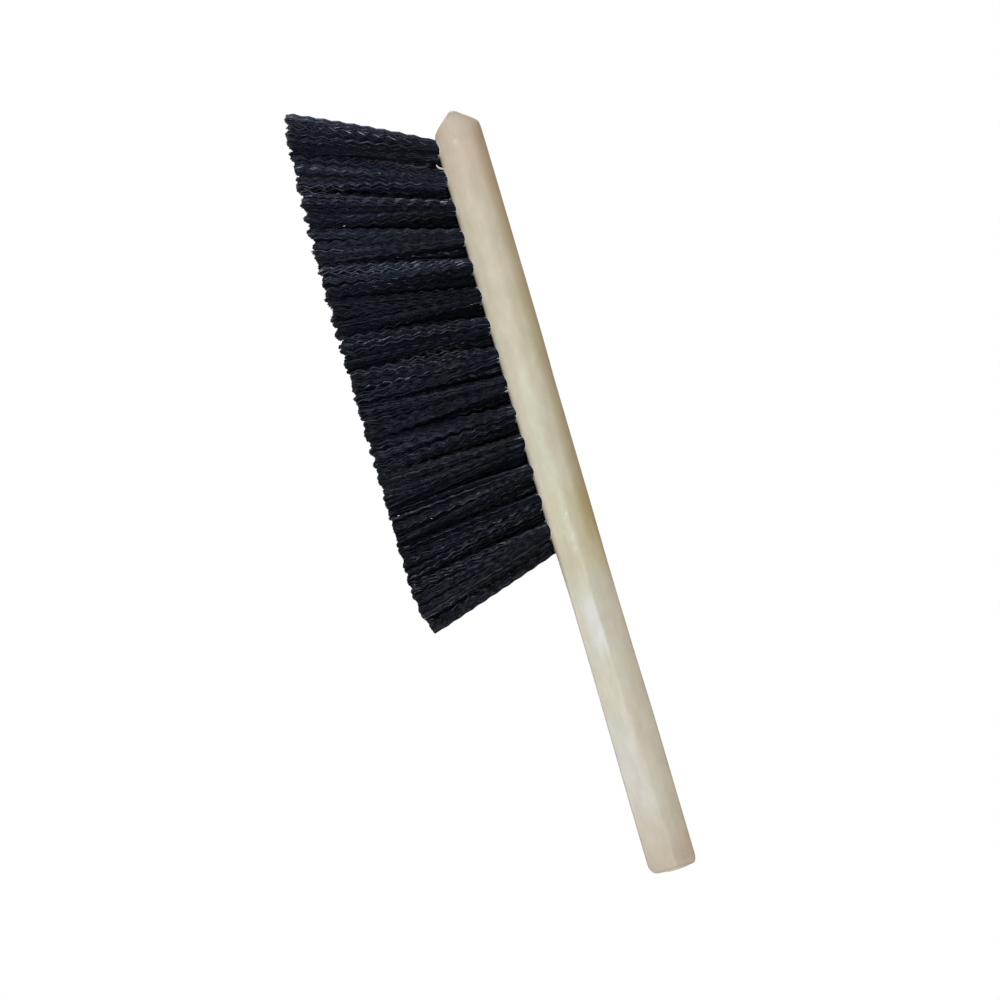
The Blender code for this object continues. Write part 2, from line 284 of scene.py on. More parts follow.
def walls(index):
    """Faces between each ring of points, along the last axis, and the ring after it."""
    after = np.roll(index, -1, axis=-1)
    corners = (index[..., :-1, :], after[..., :-1, :], after[..., 1:, :], index[..., 1:, :])
    return np.stack(corners, axis=-1).reshape(-1, 4)


def spokes(middle, ring):
    """Triangles between a middle point and each pair of neighbours on a ring."""
    return stack(np.full(ring.size, middle), ring, np.roll(ring, -1))


def tubes(lines, radii, turns, sides=3):
    """Skin many lines at once, each with rings of a few sides and a cap on each end.

    A ring's points are the line's point plus the radius times the cosine and sine of an
    even turn, along two axes square to the line.
    """
    along = unit(np.gradient(lines, axis=1))
    side = unit(np.cross(along, (0, 1, 0)))
    angles = (turns[:, None] + 2 * np.pi * np.arange(sides) / sides)[:, None, :, None]
    ring = side[:, :, None] * np.cos(angles) + np.cross(along, side)[:, :, None] * np.sin(angles)
    points = lines[:, :, None] + ring * radii[:, :, None, None]
    index = np.arange(points[..., 0].size).reshape(points.shape[:3])
    return points.reshape(-1, 3), [walls(index), index[:, 0, ::-1], index[:, -1]]


# Bores

def fan_lean(x):
    """How far along the bar a tuft's tips lie from its root."""
    return FAN_SPREAD * (x - FAN_CENTRE)


class Bore:
    """One bore and its tuft: its mouth, its axes, the way to its tips and its free side."""

    def __init__(self, row, number):
        far = row == "far"
        self.label = f"{row}_{number + 1:02d}"
        self.seed = number + far * TUFTS_PER_ROW
        self.free_end = {0: -1, TUFTS_PER_ROW - 1: 1}.get(number, 0)
        near_ends = 1 - np.array((number, TUFTS_PER_ROW - 1 - number)) / LEANING_TUFTS
        self.lean = float(np.clip(near_ends, 0, 1) @ FREE_LEANS)
        self.side = 1 if far else -1
        self.x = FIRST_TUFT + (number + far / 2) * TUFT_PITCH
        self.mouth = np.array((self.x + NOSE_X, self.side * ROW_OFFSET, FACE_Z))
        drift = self.side * FACE_Z * math.tan(ROW_TILT)
        self.reach = np.array((fan_lean(self.x), drift, -FACE_Z))
        self.up = -unit(self.reach)
        self.axis_y = unit(np.cross(self.up, (1, 0, 0)))
        self.axis_x = np.cross(self.axis_y, self.up)


BORES = [Bore(row, number) for row in ("near", "far") for number in range(TUFTS_PER_ROW)]


# The bar

def back_height(x):
    """Height of the back: level, less a long hollow and a bell-shaped dip at the waist."""
    hollow = (smooth_step((x - HOLLOW_START) / HOLLOW_FADE)
              * smooth_step((HOLLOW_END - x) / HOLLOW_FADE))
    dip = np.exp(-((x - DIP_PLACE) / DIP_LENGTH) ** 2)
    return BACK_Z + BACK_RISE - HOLLOW_DEPTH * hollow - DIP_DEPTH * dip


def section(x, settings):
    """Sizes of the bar's section at distances x from the nose.

    Face and back are straight lines, cut off at the nose by slanted lines with softened
    corners. Quarter ellipses draw all sides in at both ends, and low waves stray from them.
    Gives heights of face and back, half the width, the arris's height, and three radii.
    """
    to_grip = smooth_step((x - BLEND_START) / BLEND_LENGTH)
    along_grip = smooth_step((x - GRIP_START) / (BAR_LENGTH - GRIP_START))
    off_nose = smooth_step((x - NOSE_RADII_START) / NOSE_RADII_LENGTH)
    height = mix(mix(HEAD_HEIGHT, WAIST_HEIGHT, to_grip), BUTT_HEIGHT, along_grip)
    lower, upper = (BACK_Z - NOSE_EDGE_DROP + side * NOSE_EDGE_WIDTH / 2 for side in (-1, 1))
    back = back_height(x)
    nose_face = lower - x * (lower - FACE_Z) / NOSE_CUT_FACE
    nose_back = upper + x * (back - upper) / NOSE_CUT_BACK
    nose_end = round_off(x / NOSE_ROUND)
    butt_end = round_off((BAR_LENGTH - x) / BUTT_ROUND)
    low = soft_max(BACK_Z - height, nose_face, NOSE_FACE_SOFTNESS)
    low = low + NOSE_ROUND_DEPTH * nose_end + BUTT_ROUND * butt_end
    high = -soft_max(-back, -nose_back, NOSE_BACK_SOFTNESS)
    high = high - NOSE_ROUND_DEPTH * nose_end - BUTT_BACK_ROUND * butt_end
    side_end = round_off((BAR_LENGTH - x) / BUTT_SIDE_ROUND)
    half_width = HALF_WIDTH - NOSE_ROUND * nose_end - BUTT_SIDE_ROUND * side_end
    half_width += settings.swell * waves(x, *SWELL_WAVES)
    wobble = settings.arris_wobble * waves(x, *WOBBLE_WAVES)
    arris = BACK_Z - mix(HEAD_BEVEL_DROP, BUTT_BEVEL_DROP, along_grip) + wobble
    arris = np.clip(arris, low + 0.15 * (high - low), low + 0.6 * (high - low))
    bevel = (high - arris) / math.cos(BEVEL_ANGLE)
    crisp = smooth_step((x - ARRIS_CRISP_START) / ARRIS_CRISP_LENGTH)
    radii = [mix(mix(nose, head, off_nose), grip, share) for (nose, head, grip), share in
             ((FACE_RADII, to_grip), (ARRIS_RADII, crisp), (BACK_RADII, to_grip))]
    r_face = np.minimum(radii[0], 0.6 * (arris - low))
    r_back = np.minimum(radii[2], 0.45 * bevel / BACK_REACH)
    flats = np.minimum(arris - low - r_face, bevel - r_back * BACK_REACH)
    r_arris = np.minimum(radii[1], 0.9 * flats / ARRIS_REACH)
    return low, high, half_width, arris, r_face, r_arris, r_back


def face_height(x, y, settings):
    """Height of the bar's underside: flat, then a quarter circle up towards each side."""
    low, _, half_width, _, r_face, _, _ = section(x, settings)
    past = np.clip(np.abs(y) - (half_width - r_face), 0, r_face)
    return low + r_face - np.sqrt(r_face ** 2 - past ** 2)


def bar_rows():
    """Distances from the nose of the bar's rows: fine at the ends and along the bores."""
    def inside(start, end, cell):
        return np.linspace(start, end, int(round((end - start) / cell)) + 1)[1:-1]

    turn = np.linspace(0, np.pi / 2, END_STEPS)
    first = FIRST_TUFT - RINGS * CELL
    bored = first + CELL * np.arange((TUFTS_PER_ROW - 0.5) * CELLS_PER_PITCH + 2 * RINGS + 1)
    nose = NOSE_ROUND * (1 - np.cos(turn))
    wedge = inside(NOSE_ROUND, first, CELL)
    butt = BAR_LENGTH - BUTT_ROUND * (1 - np.sin(turn))
    grip = inside(bored[-1], butt[0], GRIP_CELL)
    return np.concatenate((nose, wedge, bored, grip, butt)), len(nose) + len(wedge)


def face_columns():
    """Places across the underside, in steps that fall on both rows of bores."""
    inner = ROW_OFFSET - RINGS * CELL
    outer = np.linspace(FACE_EDGE, ROW_OFFSET, RINGS + 1)[:-1]
    band = np.linspace(ROW_OFFSET, inner, RINGS + 1)[:-1]
    middle = np.linspace(-inner, inner, MIDDLE_CELLS + 1)
    side = np.concatenate((outer, band))
    return np.concatenate((-side, middle, side[::-1]))


def side_profile(x, y_start, settings):
    """Points up one side of the section, from the underside's edge to the crown's middle.

    Arcs, each a centre plus a radius times the cosine and sine, are joined by straight
    runs, of which the side bulges by a parabola.
    """
    low, high, half_width, arris, r_face, r_arris, r_back = section(x, settings)
    crown_edge = half_width - (high - arris) * math.tan(BEVEL_ANGLE) - r_back * BACK_REACH
    arris_start = arris - r_arris * ARRIS_REACH
    start = np.arcsin(np.clip((y_start - half_width + r_face) / r_face, 0, 1)) - np.pi / 2

    def arc(centre_y, centre_z, radius, first, last, steps):
        angle = first + (last - first) * np.arange(1, steps + 1)[None] / steps
        return stack(centre_y[:, None] + radius[:, None] * np.cos(angle),
                     centre_z[:, None] + radius[:, None] * np.sin(angle))

    def run(here, there, steps):
        share = np.arange(1, steps + 1)[None, :, None] / steps
        return here[:, None] + (there - here)[:, None] * share

    fillet = arc(half_width - r_face, low + r_face, r_face, start[:, None], 0, FILLET_STEPS)
    edge = arc(half_width - r_arris, arris_start, r_arris, 0, BEVEL_ANGLE, ARRIS_STEPS)
    flank = run(fillet[:, -1], stack(half_width, arris_start), SIDE_STEPS)
    share = np.arange(1, SIDE_STEPS + 1) / SIDE_STEPS
    flank[..., 0] += 4 * SIDE_CROWN * share * (1 - share)
    back = arc(crown_edge, high - r_back, r_back, BEVEL_ANGLE, math.pi / 2, BACK_STEPS)
    foot = stack(crown_edge + r_back * math.cos(BEVEL_ANGLE),
                 high - r_back + r_back * math.sin(BEVEL_ANGLE))
    slope = run(edge[:, -1], foot, BEVEL_STEPS)
    crown = run(back[:, -1], stack(np.zeros_like(high), high), CROWN_STEPS)
    return np.concatenate((fillet, flank, edge, slope, back, crown), axis=1)


def square_to_round():
    """Steps from a bore's middle in a square patch of the grid, and the turn of each.

    An even walk round each square ring of the patch becomes an even turn on a circle.
    """
    steps = np.arange(-RINGS, RINGS + 1)
    along, across = np.meshgrid(steps, steps, indexing="ij")
    ring = np.maximum(np.abs(along), np.abs(across))
    by_along = np.pi / 4 * across / np.where(along == 0, 1, along) + np.pi * (along < 0)
    by_across = np.pi / 2 * np.sign(across) - np.pi / 4 * along / np.where(across == 0, 1, across)
    return along, across, ring, np.where(ring == np.abs(along), by_along, by_across)


def bore_patch(bore, settings):
    """Points of the grid's patch round one bore, and how raw the wood is at each.

    Outside the rim the square rings blend into the rim's ellipse on the bar's underside.
    Inside it the rings go down the bore's wall and then shrink to the middle of its floor.
    """
    along, across, ring, turn = square_to_round()
    inner = RINGS * CELL
    width = np.where(across * bore.side > 0, FACE_EDGE - ROW_OFFSET, inner)
    square_x = bore.mouth[0] + along / np.maximum(ring, 1) * inner
    square_y = bore.mouth[1] + across / np.maximum(ring, 1) * width
    rim_x = bore.mouth[0] + BORE_RADIUS / bore.up[2] * np.cos(turn)
    rim_y = bore.mouth[1] + BORE_RADIUS * np.sin(turn)
    rise = face_height(rim_x - NOSE_X, rim_y, settings) - FACE_Z
    rim_x = rim_x + rise * bore.up[0] / bore.up[2]
    share = np.clip((ring - RIM_RING) / (RINGS - RIM_RING), 0, 1)
    x = mix(rim_x, square_x, share)
    y = mix(rim_y, square_y, share)
    z = face_height(x - NOSE_X, y, settings)
    torn = 0.55 + 0.45 * np.sin(5 * turn + bore.seed) * np.sin(3 * turn + 2.3 * bore.seed)
    grip_side = np.maximum(np.cos(turn), 0) ** 2
    lip = settings.lip * (0.25 + 0.75 * grip_side) * torn * np.clip(1 - 1.6 * share, 0, 1)
    points = stack(x, y, z - lip)
    radius = BORE_RADIUS * np.clip(ring / (RIM_RING - WALL_RINGS), 0, 1)
    bottom = (bore.mouth + bore.up * BORE_DEPTH
              + (radius * np.cos(turn))[..., None] * bore.axis_x
              + (radius * np.sin(turn))[..., None] * bore.axis_y)
    down = np.clip((RIM_RING - ring) / WALL_RINGS, 0, 1)[..., None] ** 2
    points = np.where((ring < RIM_RING)[..., None], mix(points, bottom, down), points)
    return points, np.clip(1.15 - 1.3 * share, 0, 1)


def dents(x, z):
    """Depth of the dents at points of the near side: a bell round each dent's middle."""
    depth = np.zeros_like(x)
    for place in DENT_PLACES:
        square = (x - NOSE_X - place) ** 2 + (z - BACK_Z + DENT_BELOW_BACK) ** 2
        depth += DENT_DEPTH * np.exp(-square / DENT_RADIUS ** 2)
    return depth


def wear_and_shade_profile(levels):
    """How worn and brown the varnish is, with painted shade, up one side of the section, between nine
    levels.
    """
    ends = np.cumsum((0, FILLET_STEPS, SIDE_STEPS, ARRIS_STEPS, BEVEL_STEPS / 2, BEVEL_STEPS / 2,
                      BACK_STEPS / 2, BACK_STEPS / 2, CROWN_STEPS))
    return np.interp(np.arange(1, ends[-1] + 1), ends, levels)


def wear_and_shade_grid(x, columns):
    """Wear and painted shade over the whole grid: along its edges, with a profile of its own at each
    end.
    """
    def around(levels):
        profile = wear_and_shade_profile(levels)
        return np.concatenate((np.full(columns, levels[0]), profile, profile[-2::-1]))[None]

    nose = 1 - smooth_step((x - 0.6 * NOSE_CUT_BACK) / NOSE_WEAR_AND_SHADE_LENGTH)[:, None]
    butt = smooth_step(1.4 * (1 - (BAR_LENGTH - x) / BUTT_WEAR_AND_SHADE_LENGTH))[:, None]
    to_grip = smooth_step((x - BLEND_START) / BLEND_LENGTH)[:, None]
    wear = mix(around(HEAD_WEAR_AND_SHADE), around(GRIP_WEAR_AND_SHADE), to_grip)
    wear = mix(wear, around(NOSE_WEAR_AND_SHADE), nose)
    # Less of the tint on the butt's rounding: painted light that lifts the shade there
    rim = smooth_step(1 - (BAR_LENGTH - x) / BUTT_ROUND)[:, None]
    return mix(wear, around(BUTT_WEAR_AND_SHADE), butt) * (1 - 0.3 * rim)


def bar_surface(settings):
    """The bar's whole surface as a grid: rows along it, columns once round the section."""
    x, first_bored = bar_rows()
    columns = face_columns()
    under_y = columns[None] * (section(x, settings)[2] / HALF_WIDTH)[:, None]
    under_x = np.repeat(x[:, None], len(columns), axis=1)
    under = stack(under_x + NOSE_X, under_y, face_height(under_x, under_y, settings))
    raw = np.zeros(under_x.shape)
    for bore in BORES:
        row = first_bored + int(round((bore.x - FIRST_TUFT) / CELL))
        column = 0 if bore.side < 0 else len(columns) - 2 * RINGS - 1
        patch = (slice(row, row + 2 * RINGS + 1), slice(column, column + 2 * RINGS + 1))
        under[patch], raw[patch] = bore_patch(bore, settings)
    profile = side_profile(x, under_y[:, -1], settings)
    side_x = np.repeat(x[:, None] + NOSE_X, profile.shape[1], axis=1)
    far_side = stack(side_x, profile[..., 0], profile[..., 1])
    near_side = (far_side * (1, -1, 1))[:, -2::-1]
    dented = dents(near_side[..., 0], near_side[..., 2])
    near_side[..., 1] += dented
    grid = np.concatenate((under, far_side, near_side), axis=1)
    # The dents take a share of the pale raw colour, a painted highlight
    raw = np.concatenate((raw, np.zeros(far_side.shape[:2]), 0.7 * dented / DENT_DEPTH), axis=1)
    wear = wear_and_shade_grid(x, len(columns))
    end_wear_and_shade = mix(END_WEAR, wear[-1:], BUTT_RINGS[:, None] ** 5)
    return (np.concatenate((grid, butt_rings(grid[-1]))),
            np.pad(raw, ((0, len(BUTT_RINGS)), (0, 0))), np.concatenate((wear, end_wear_and_shade)))


def butt_rings(last):
    """Rows that shrink the last row towards the butt's middle, on a low dome.

    The dome is a parabola across times one up, and falls to nothing at the last row.
    """
    middle = (last.min(axis=0) + last.max(axis=0)) / 2
    half = np.maximum(last.max(axis=0) - middle, MM)
    share = BUTT_RINGS[:, None, None]
    rings = middle + (last[None] - middle) * share
    across, up = (((rings - middle) / half)[..., 1:] ** 2).transpose(2, 0, 1)
    rings[..., 0] += BUTT_DOME * (1 - across) * (1 - up) * (1 - share[..., 0] ** 6)
    return rings


def close_grid(grid):
    """Points and faces of a grid that is closed round its columns, with a pole on each end."""
    index = np.arange(grid[..., 0].size).reshape(grid.shape[:2])
    points = np.concatenate((grid.reshape(-1, 3), (grid[0].mean(axis=0), grid[-1].mean(axis=0))))
    nose = spokes(index.size, index[0])[:, ::-1]
    return points, [walls(index), nose, spokes(index.size + 1, index[-1])]


# Bristles

def sunflower(count):
    """Even places in a unit disc: each a golden turn on, at the root of its share."""
    number = np.arange(count) + 0.5
    turn = number * np.pi * (3 - math.sqrt(5))
    return np.sqrt(number / count)[:, None] * stack(np.cos(turn), np.sin(turn))


def trim_height(x):
    """Height of the cut tips at places along the bar: level, with parabolas up at its ends."""
    height = np.full_like(x, TRIM_BASE)
    for number, way, run, rise in TRIM_RISES:
        end = BORES[number].x + fan_lean(BORES[number].x) - way * TIP_RADIUS * FREE_SPLAY
        height += rise * np.clip(1 - way * (x - end) / run, 0, 1.2) ** 2
    return height


# Ragged trim: lengths of two waves and of the drift of their steps, that drift, and shares
RAGGED_WAVES = ((7.4 * MM, 27 * MM, 1.2, 0.6), (4.1 * MM, 11 * MM, 2, 0.4))
RAGGED_POWER = 1.6


def raggedness(x):
    """0 to 1: how far the tips at places along the bar fall short of an even cut.

    Two waves, whose steps drift in and out, each sharpened by a power.
    """
    total = np.zeros_like(x)
    for length, drift_length, drift, share in RAGGED_WAVES:
        wave = np.sin(2 * np.pi * x / length + drift * np.sin(2 * np.pi * x / drift_length))
        total += share * (0.5 + 0.5 * wave) ** RAGGED_POWER
    return total


# Bristles: how they are packed in a bore, and drawn into clumps towards their tips
FIRST_SEED = 100
ROOT_SINK = 3 * MM
PACK_SHARE = 0.93
PACK_JITTER = 0.035
CLUMPS = 11
CLUMP_SPREAD = 0.92
CLUMP_JITTER = 0.05
CLUMP_REACH = 0.3
CLUMP_PULL = 0.32
SQUARENESS = 0.15
FREE_SQUARENESS = 0.5
FREE_BAND = 0.35
END_FILL = 1.35
END_PACKING = 0.72

# Bristles: how they open, stray and end, with how much of a tip's shortfall comes from its
# place along the bar, from its clump, from its place in that and from chance
FREE_FLARE = 0.86
FLARE_ALONG = 1.18
FLARE_ACROSS = 0.8
STRAY = 0.55 * MM
LOOSE_SHARE = 0.04
LOOSE_STRAY = 2.4
WIDEST_TIP = HALF_WIDTH + 5.4 * MM
UNEVEN_SHARES = np.array((0.55, 0.2, 0.1, 0.15))
UNEVEN_MIDDLE = 0.2
GRIP_RAGGED = 0.45

# Bristles: crimps, with spreads of their phase and turn for clumps and for single bristles
CRIMPS = 19
CRIMPS_SPARE = 0.75
CRIMP_SHARP = math.radians(12)
CRIMP_HEIGHTS = (0.65, 1.25)
CRIMP_FADE = (1.05, 0.75)
CRIMP_START = 0.1
CUT_CRIMP = 0.4
PHASE_SPREADS = (0.34, 0.21)
PHASE_LIMIT = 0.6
TURN_MIDDLE = 0.5
TURN_SPREADS = (0.5, 0.3)
FREE_TURN = 0.2
FLOOR_GAP = 0.3 * MM
RADIUS_RANGE = (0.85, 1.12)
TIP_TAPER = 0.82
ROLL_SPREAD = 0.38

# Bristles: how much calmer each of these is at a free edge
CALM_STRAY, CALM_TIPS, CALM_PHASE, CALM_HEIGHT, CALM_TURN = 0.6, 0.6, 0.85, 0.5, 0.8


def shared_normal(rng, clump, clump_spread, own_spread):
    """Normal random values, which the bristles of a clump share in part."""
    shared = clump_spread * rng.normal(0, 1, CLUMPS)[clump]
    return shared + own_spread * rng.normal(0, 1, len(clump))


def open_fan(bore, count, rng):
    """Places of a tuft's bristles in its bore and at their tips, in shares of the radius.

    They fill a disc evenly. At the tips each is pulled towards the middle of its clump,
    and the disc is drawn out towards a square, most of all on a side without a neighbour.
    """
    disc = sunflower(count) + rng.normal(0, PACK_JITTER, (count, 2))
    centres = sunflower(CLUMPS) * CLUMP_SPREAD + rng.normal(0, CLUMP_JITTER, (CLUMPS, 2))
    gaps = np.linalg.norm(disc[:, None] - centres[None], axis=-1)
    clump = gaps.argmin(axis=1)
    off_centre = np.clip(gaps.min(axis=1) / CLUMP_REACH, 0, 1)
    opened = mix(disc, centres[clump], CLUMP_PULL)
    square = np.abs(opened).max(axis=1) / np.maximum(np.linalg.norm(opened, axis=1), 1e-6)
    free = opened[:, 0] * bore.free_end > 0
    opened = opened / square[:, None] ** np.where(free, FREE_SQUARENESS, SQUARENESS)[:, None]
    edge = np.where(free, smooth_step((np.abs(opened[:, 0]) - FREE_BAND) / FREE_BAND), 0)
    packed = bore.free_end * np.abs(opened[:, 0]) ** END_PACKING
    opened[:, 0] = np.where(free, packed, opened[:, 0])
    return disc, opened, clump, off_centre, free, edge


def cut_tips(x, to_grip, clump, off_centre, edge, settings, rng):
    """Heights of tips at places along the bar: the trim, and each tip's own shortfall."""
    short_clumps = 1 - rng.uniform(0, 1, CLUMPS)[clump]
    chance = rng.uniform(0, 1, len(x))
    uneven = UNEVEN_SHARES @ np.stack((raggedness(x), short_clumps, off_centre, chance))
    ragged = settings.ragged * mix(1, GRIP_RAGGED, to_grip) * (1 - CALM_TIPS * edge)
    return np.maximum(trim_height(x - NOSE_X) + ragged * (uneven - UNEVEN_MIDDLE), 0)


def bristle_lines(bore, settings):
    """Middle lines of one tuft's bristles.

    A bristle runs from its place in the bore towards its tip. It opens outwards by a power
    of the way gone, bows a little, and steps from side to side at each half crimp.
    """
    rng = np.random.default_rng(FIRST_SEED + bore.seed)
    count = int(settings.per_tuft * (END_FILL if bore.free_end else 1))
    disc, opened, clump, off_centre, free, edge = open_fan(bore, count, rng)
    packed = disc * BORE_RADIUS * PACK_SHARE
    root = bore.mouth + packed[:, :1] * bore.axis_x + packed[:, 1:] * bore.axis_y
    spread = opened * TIP_RADIUS * (TIP_OVERLAP, 1) - packed
    spread[:, 0] = spread[:, 0] * np.where(free, FREE_SPREAD, 1) + bore.lean
    loose = np.where(rng.uniform(0, 1, count) < LOOSE_SHARE, LOOSE_STRAY, 1)
    stray = STRAY * np.where(edge > 0, 1 - CALM_STRAY * edge, loose)[:, None]
    spread += stray * rng.normal(0, 1, (count, 2))
    tip = root + bore.reach
    spread[:, 1] -= bore.side * np.maximum(bore.side * (tip[:, 1] + spread[:, 1]) - WIDEST_TIP, 0)
    tip[:, :2] += spread
    to_grip = np.clip((tip[:, 0] - BORES[0].mouth[0]) / (LAST_TUFT - FIRST_TUFT), 0, 1)
    tip_z = cut_tips(tip[:, 0], to_grip, clump, off_centre, edge, settings, rng)
    phase = shared_normal(rng, clump, *PHASE_SPREADS) * (1 - CALM_PHASE * edge)
    phase = np.clip(phase, -PHASE_LIMIT, PHASE_LIMIT)[:, None]
    share = (np.arange(1, CRIMPS + 1)[None] + phase) / (CRIMPS + CRIMPS_SPARE)
    share = np.concatenate((np.zeros((count, 1)), share, np.ones((count, 1))), axis=1)
    way = share * ((FACE_Z - tip_z) / FACE_Z)[:, None]
    lines = root[:, None] + bore.reach * way[..., None]
    power_along = np.where(free, FREE_FLARE, FLARE_ALONG)[:, None]
    flare = stack(share ** power_along, share ** FLARE_ACROSS)
    bow = (stray * rng.normal(0, 1, (count, 2)))[:, None] * np.sin(np.pi * share)[..., None]
    lines[..., :2] += spread[:, None] * flare + bow
    swing = np.where(np.arange(CRIMPS + 2) % 2 == 0, 1, -1) * smooth_step(share / CRIMP_START)
    swing[:, -1] *= CUT_CRIMP
    height = settings.crimp_height * rng.uniform(*CRIMP_HEIGHTS, count)
    height *= (1 - CALM_HEIGHT * edge) * mix(*CRIMP_FADE, to_grip ** 2)
    turn = TURN_MIDDLE + shared_normal(rng, clump, *TURN_SPREADS)
    turn = FREE_TURN + turn * (1 - CALM_TURN * edge)
    direction = np.cos(turn)[:, None] * bore.axis_x + np.sin(turn)[:, None] * bore.axis_y
    lines += direction[:, None] * (swing * height[:, None])[..., None]
    lines[..., 2] = np.maximum(lines[..., 2], FLOOR_GAP)
    lines[:, -1, 2] = tip_z
    sunk = root + bore.up * ROOT_SINK
    return np.concatenate((sunk[:, None], lines), axis=1), clump, rng


def make_tuft(bore, settings, material):
    lines, clump, rng = bristle_lines(bore, settings)
    count, stations = lines.shape[:2]
    taper = np.linspace(1, TIP_TAPER, stations)
    radii = settings.radius * rng.uniform(*RADIUS_RANGE, count)[:, None] * taper[None]
    turns = rng.uniform(0, 2 * np.pi, CLUMPS)[clump] + rng.normal(0, ROLL_SPREAD, count)
    points, faces = tubes(lines, radii, turns)
    points[:, 2] = np.maximum(points[:, 2], 0)
    tint = np.repeat(rng.uniform(0, 1, count), stations * 3)
    reach = np.tile(np.repeat(np.linspace(0, 1, stations), 3), count)
    return mesh_object("bristles_" + bore.label, points, faces, material,
                       {"tint": tint, "reach": reach}, CRIMP_SHARP)


# Fibres and splinter
FIBRE_SEED = 7
FIBRE_SIDE = (0.2, 0.7)
FIBRE_LENGTHS = (0.5 * MM, 1.5 * MM)
FIBRE_RADII = (0.05 * MM, 0.11 * MM)
FIBRE_STATIONS = 5
FIBRE_OFF_RIM = 0.12 * MM
FIBRE_ROOT = 0.15 * MM
FIBRE_BEND = 0.35
SPLINTER_ROOT = np.array((-BORE_RADIUS - 0.2 * MM, -2 * MM, MM))
SPLINTER_REACH = (2.6 * MM, 2.6 * MM, 3.2 * MM)
SPLINTER_RADIUS = 0.42 * MM
SPLINTER_STATIONS = 13
SPLINTER_SIDES = 7


def fibre_lines(settings):
    """Middle lines of the torn fibres: from the rim outwards and down, curling back in."""
    rng = np.random.default_rng(FIBRE_SEED)
    share = np.linspace(0, 1, FIBRE_STATIONS)[None]
    lines = []
    for bore in BORES:
        count = settings.fibres_per_bore
        turn = rng.vonmises(*FIBRE_SIDE, count)
        length = rng.uniform(*FIBRE_LENGTHS, count)[:, None]
        rim_x = bore.mouth[0] + (BORE_RADIUS + FIBRE_OFF_RIM) / bore.up[2] * np.cos(turn)
        rim_y = bore.mouth[1] + (BORE_RADIUS + FIBRE_OFF_RIM) * np.sin(turn)
        rim_z = face_height(rim_x - NOSE_X, rim_y, settings) + FIBRE_ROOT
        out = FIBRE_BEND * length * np.sin(np.pi * 0.8 * share)
        lean = rng.normal(0, FIBRE_BEND, count)[:, None] * length * share
        x = rim_x[:, None] + out * np.cos(turn)[:, None] + lean
        y = rim_y[:, None] + out * np.sin(turn)[:, None]
        lines.append(stack(x, y, rim_z[:, None] - length * share))
    lines = np.concatenate(lines)
    taper = np.linspace(1, FIBRE_BEND, FIBRE_STATIONS)[None]
    radii = rng.uniform(*FIBRE_RADII, len(lines))[:, None] * taper
    return lines, radii, rng.uniform(0, 2 * np.pi, len(lines))


def splinter_line():
    """Middle line of the loose splinter: an arc out of the second bore's nose side."""
    share = np.linspace(0, 1, SPLINTER_STATIONS)
    arc = np.sin(np.pi * share / 2)
    way = stack(share ** 1.5, arc, arc)
    radii = SPLINTER_RADIUS * np.sqrt(np.clip(np.sin(np.pi * (0.06 + 0.88 * share)), 0, 1))
    line = BORES[1].mouth + SPLINTER_ROOT - way * SPLINTER_REACH
    return line[None], radii[None], np.zeros(1), SPLINTER_SIDES


# Materials: a new node goes to the tree of the socket, node or tree that it is made near

def feed(node, inputs):
    """Link or set a node's inputs by name or number. Colours come without their opacity."""
    for key, value in inputs.items():
        socket = node.inputs[key]
        if isinstance(value, bpy.types.NodeSocket):
            node.id_data.links.new(value, socket)
        else:
            socket.default_value = (*value, 1) if socket.type == "RGBA" else value


def add_node(near, kind, inputs=None, **options):
    made = near.id_data.nodes.new("ShaderNode" + kind)
    for key, value in options.items():
        setattr(made, key, value)
    feed(made, inputs or {})
    return made


def new_material(name):
    """A new material, with its shader and the coordinates on its object."""
    material = bpy.data.materials.new(name)
    material.use_nodes = True
    shader = material.node_tree.nodes["Principled BSDF"]
    return material, shader, add_node(shader, "TexCoord").outputs["Object"]


def attribute(near, name):
    return add_node(near, "Attribute", attribute_name=name).outputs["Fac"]


def noise(place, scale, detail=3, stretch=(1, 1, 1)):
    """Noise on object coordinates, stretched by a scale of its own along each axis."""
    mapped = add_node(place, "Mapping", {"Vector": place, "Scale": stretch}).outputs["Vector"]
    inputs = {"Vector": mapped, "Scale": scale, "Detail": detail, "Roughness": 0.55}
    return add_node(place, "TexNoise", inputs).outputs["Fac"]


def between(value, low, high, to_low=0, to_high=1):
    """A smooth step of a value from one bound to another."""
    inputs = dict(zip(("Value", "From Min", "From Max", "To Min", "To Max"),
                      (value, low, high, to_low, to_high)))
    return add_node(value, "MapRange", inputs, interpolation_type="SMOOTHSTEP").outputs["Result"]


def maths(operation, first, *others):
    """A sum, product or greatest value of two or more."""
    for other in others:
        first = add_node(first, "Math", {0: first, 1: other}, operation=operation).outputs["Value"]
    return first


def times(*values):
    return maths("MULTIPLY", *values)


def blend(share, first, second, mode="MIX"):
    """Mix two colours by a share, of which the share or the first is linked."""
    near = share if isinstance(share, bpy.types.NodeSocket) else first
    inputs = {0: share, 6: first, 7: second}
    return add_node(near, "Mix", inputs, data_type="RGBA", blend_type=mode).outputs[2]


def bump(height, strength, distance):
    inputs = {"Height": height, "Strength": strength, "Distance": distance}
    return add_node(height, "Bump", inputs).outputs["Normal"]


# Colours of the wood
GRIP_WOOD = (0.65, 0.628, 0.54)
WARM_WOOD = (0.64, 0.56, 0.46)
NOSE_WOOD = (0.585, 0.495, 0.405)
NOSE_TIP_WOOD = (0.535, 0.482, 0.438)
BUTT_WOOD = (0.572, 0.496, 0.396)
RAW_WOOD_AND_HIGHLIGHT = (0.7, 0.68, 0.61)
# Whiter colour of the painted sheen
PAINTED_SHEEN = (0.73, 0.72, 0.712)
WORN_AND_SHADED_TINT = (0.6, 0.51, 0.4)
STAIN_TINT = (0.9, 0.83, 0.54)
STRAW_TINT = (0.99, 0.97, 0.84)
SPECK_TINT = (0.965, 0.955, 0.925)
